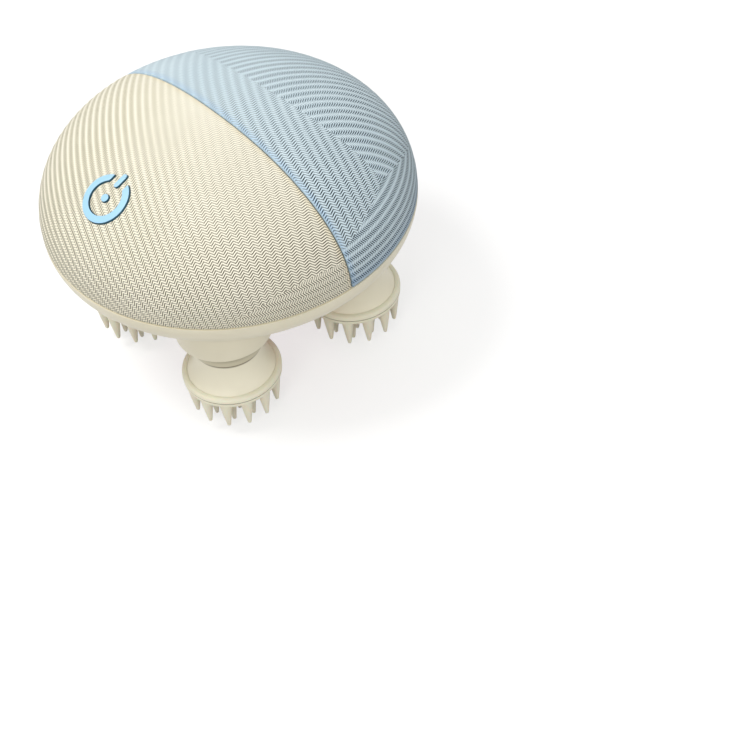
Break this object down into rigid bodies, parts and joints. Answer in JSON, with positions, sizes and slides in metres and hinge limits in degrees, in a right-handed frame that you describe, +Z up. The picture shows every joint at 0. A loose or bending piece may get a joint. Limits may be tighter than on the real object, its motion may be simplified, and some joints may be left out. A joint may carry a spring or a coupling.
{
  "type": "electric scalp massager",
  "caption": "Palm-held electric scalp massager: domed fabric grip over a shallow bowl, geared rotating heads with soft claws, power key, underside light and covered charging port.",
  "frame": {"origin": "on the body's vertical axis, at the height of the longest claws' tips, where it stands", "axes": "+Z up through the dome, -Y towards the power key, +Y towards the charging port, +X along the fabric's seam"},
  "size_m": [0.112, 0.112, 0.0856],
  "materials": {
    "fabric_cream": "herringbone weave",
    "fabric_blue": "herringbone weave",
    "housing_plastic": "satin",
    "cover_plastic": "matte",
    "key_plastic": "glossy",
    "hub_plastic": "satin",
    "pad_silicone": "soft satin",
    "window_plastic": "glossy, clear dark red",
    "red_led": "lit",
    "lens_plastic": "lit",
    "gear_plastic": "satin",
    "inner_plastic": "matte",
    "seal_rubber": "matte",
    "steel": "brushed",
    "brass": "machined",
    "motor_can": "zinc plated",
    "board": "solder mask",
    "switch_black": "matte",
    "cell_wrap": "shrink wrap"
  },
  "bodies": {
    "housing": {"lower_housing": "housing_plastic", "top_cover": "cover_plastic", "front_fabric": "fabric_cream", "rear_fabric": "fabric_blue", "tact_switch": "switch_black", "key_board": "board", "gear_deck": "inner_plastic", "sun_axle": "steel", "motor": "motor_can", "motor_bracket": "inner_plastic", "battery": "cell_wrap", "main_board": "board", "charge_board": "board", "usb_socket": "steel", "light_window": "window_plastic", "red_leds": "red_led", "centre_lens": "lens_plastic", "light_board": "board", "deck_screws": "steel", "small_screws": "steel", "shaft_bush_1": "inner_plastic", "shaft_bush_2": "inner_plastic", "shaft_bush_3": "inner_plastic", "shaft_bush_4": "inner_plastic", "shaft_seal_1": "seal_rubber", "shaft_seal_2": "seal_rubber", "shaft_seal_3": "seal_rubber", "shaft_seal_4": "seal_rubber"},
    "key": {"power_key": "key_plastic", "switch_plunger": "switch_black"},
    "port_flap": {"port_cover": "pad_silicone"},
    "sun": {"sun_gear": "gear_plastic"},
    "drive": {"drive_pinion": "gear_plastic", "reduction_wheel": "gear_plastic"},
    "rotor": {"motor_pinion": "brass", "motor_shaft": "steel"},
    "head_1": {"head_gear_1": "gear_plastic", "head_shaft_1": "steel", "head_hub_1": "hub_plastic", "claw_pad_1": "pad_silicone"},
    "head_2": {"head_gear_2": "gear_plastic", "head_shaft_2": "steel", "head_hub_2": "hub_plastic", "claw_pad_2": "pad_silicone"},
    "head_3": {"head_gear_3": "gear_plastic", "head_shaft_3": "steel", "head_hub_3": "hub_plastic", "claw_pad_3": "pad_silicone"},
    "head_4": {"head_gear_4": "gear_plastic", "head_shaft_4": "steel", "head_hub_4": "hub_plastic", "claw_pad_4": "pad_silicone"}
  },
  "joints": [
    {"name": "head_1_spin", "type": "hinge", "parent": "housing", "child": "head_1", "pos_m": [0.02404, 0.02404, 0.0505], "axis": [0, 0, 1], "continuous": true},
    {"name": "head_2_spin", "type": "hinge", "parent": "housing", "child": "head_2", "pos_m": [-0.02404, 0.02404, 0.0505], "axis": [0, 0, 1], "continuous": true},
    {"name": "head_3_spin", "type": "hinge", "parent": "housing", "child": "head_3", "pos_m": [-0.02404, -0.02404, 0.0505], "axis": [0, 0, 1], "continuous": true},
    {"name": "head_4_spin", "type": "hinge", "parent": "housing", "child": "head_4", "pos_m": [0.02404, -0.02404, 0.0505], "axis": [0, 0, 1], "continuous": true},
    {"name": "sun_spin", "type": "hinge", "parent": "housing", "child": "sun", "pos_m": [0, 0, 0.0505], "axis": [0, 0, 1], "continuous": true},
    {"name": "drive_spin", "type": "hinge", "parent": "housing", "child": "drive", "pos_m": [0, -0.028, 0.0505], "axis": [0, 0, 1], "continuous": true},
    {"name": "rotor_spin", "type": "hinge", "parent": "housing", "child": "rotor", "pos_m": [0, -0.0094, 0.058], "axis": [0, 0, 1], "continuous": true},
    {"name": "key_press", "type": "slide", "parent": "housing", "child": "key", "axis": [0, 0.4589, -0.8885], "range_m": [0, 0.0005], "stiffness_N_per_m": 1500, "springref_m": -0.0002},
    {"name": "port_flap_hinge", "type": "hinge", "parent": "housing", "child": "port_flap", "pos_m": [0, 0.04848, 0.04377], "axis": [1, 0, 0], "range_deg": [0, 100]}
  ],
  "couplings": [
    {"joint": "head_2_spin", "follows": "head_1_spin", "ratio": 1},
    {"joint": "head_3_spin", "follows": "head_1_spin", "ratio": 1},
    {"joint": "head_4_spin", "follows": "head_1_spin", "ratio": 1},
    {"joint": "sun_spin", "follows": "head_1_spin", "ratio": -0.7},
    {"joint": "drive_spin", "follows": "head_1_spin", "ratio": 1.75},
    {"joint": "rotor_spin", "follows": "head_1_spin", "ratio": -6}
  ]
}
